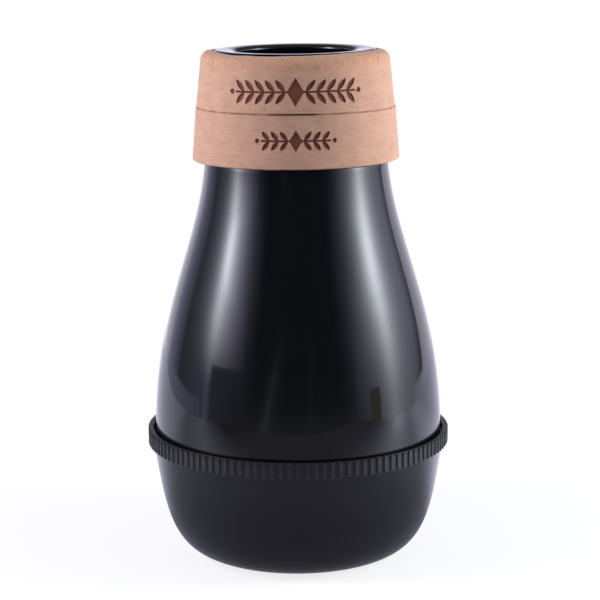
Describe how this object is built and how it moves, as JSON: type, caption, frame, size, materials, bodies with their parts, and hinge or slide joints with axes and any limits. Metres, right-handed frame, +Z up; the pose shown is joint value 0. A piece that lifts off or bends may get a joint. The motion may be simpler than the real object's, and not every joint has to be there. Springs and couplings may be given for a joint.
{
  "type": "trombone practice mute",
  "caption": "Hollow practice mute for a trombone bell: black bulb with a foam-sleeved neck that screws onto a bowl-shaped end cap with a knurled grip ring.",
  "frame": {"origin": "middle of the flat foot that the mute stands on", "axes": "+Z up along the mute's axis, from the foot to the mouth"},
  "size_m": [0.108, 0.108, 0.1803],
  "materials": {
    "shell": "polished black",
    "lip": "polished black",
    "collar_upper": "fine closed-cell foam, pinkish brown",
    "collar_lower": "fine closed-cell foam, pinkish brown",
    "cap": "satin black",
    "grip": "matt black rubber",
    "seal": "matt dark rubber",
    "damping": "open-cell grey foam",
    "vent": "drawn black plastic"
  },
  "bodies": {
    "base": {"end_cap": "cap", "grip_ring": "grip", "damping_disc": "damping", "vent_tube": "vent"},
    "seal": {"rim_seal": "seal"},
    "upper": {"body_shell": "shell", "mouth_ring": "lip", "upper_collar": "collar_upper", "lower_collar": "collar_lower"}
  },
  "joints": [
    {"name": "thread_lift", "type": "slide", "parent": "base", "child": "seal", "axis": [0, 0, 1], "range_m": [0, 0.007]},
    {"name": "unscrew", "type": "hinge", "parent": "seal", "child": "upper", "pos_m": [0, 0, 0.0426], "axis": [0, 0, 1], "range_deg": [0, 630]}
  ],
  "couplings": [
    {"joint": "thread_lift", "follows": "unscrew", "m_per_rad": 0.0006366}
  ]
}
